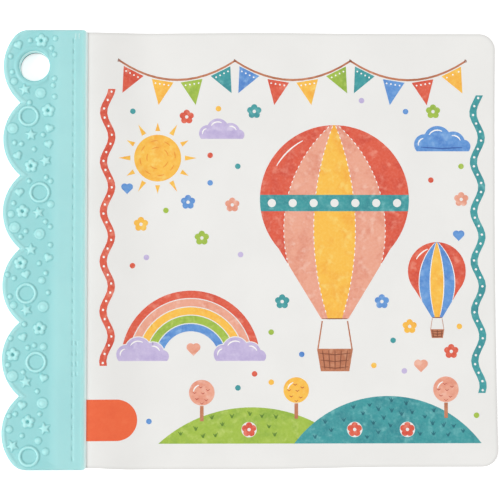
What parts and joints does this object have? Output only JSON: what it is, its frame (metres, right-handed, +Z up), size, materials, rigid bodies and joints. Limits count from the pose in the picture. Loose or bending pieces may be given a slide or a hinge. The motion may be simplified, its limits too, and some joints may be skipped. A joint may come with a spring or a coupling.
{
  "type": "chew-proof baby book",
  "caption": "Soft baby book: limp rounded sheets sewn into a scalloped silicone teething spine with raised motifs and a ring hole.",
  "frame": {"origin": "middle of the lying book's outline, on the table under it", "axes": "+X from the spine to the fore-edge, +Y to the head of the book, +Z up through the front cover"},
  "size_m": [0.178, 0.1584, 0.0074],
  "materials": {
    "silicone": "soft matt silicone",
    "leaf_sheet": "limp tear-proof synthetic paper",
    "cover_sheet": "limp tear-proof synthetic paper, satin",
    "thread": "polyester sewing thread",
    "print_orange": "flat printed colour",
    "print_coral": "printed colour, washed",
    "print_salmon": "printed colour, washed",
    "print_yellow": "printed colour, washed",
    "print_green": "printed colour, washed",
    "print_teal": "printed colour, washed",
    "print_blue": "printed colour, washed",
    "print_lavender": "printed colour, washed",
    "print_brown": "printed colour, washed"
  },
  "bodies": {
    "spine": {"teether_spine": "silicone", "page_block": "leaf_sheet", "sewing_thread": "thread"},
    "front": {"front_cover": "cover_sheet", "print_tab": "print_orange", "print_coral": "print_coral", "print_salmon": "print_salmon", "print_yellow": "print_yellow", "print_green": "print_green", "print_teal": "print_teal", "print_blue": "print_blue", "print_lavender": "print_lavender", "print_brown": "print_brown"},
    "back": {"back_cover": "cover_sheet"}
  },
  "joints": [
    {"name": "front_cover_hinge", "type": "hinge", "parent": "spine", "child": "front", "pos_m": [-0.05897, 0, 0.00602], "axis": [0, -1, 0], "range_deg": [0, 170]},
    {"name": "back_cover_hinge", "type": "hinge", "parent": "spine", "child": "back", "pos_m": [-0.05897, 0, 0.00097], "axis": [0, 1, 0], "range_deg": [0, 170]}
  ]
}
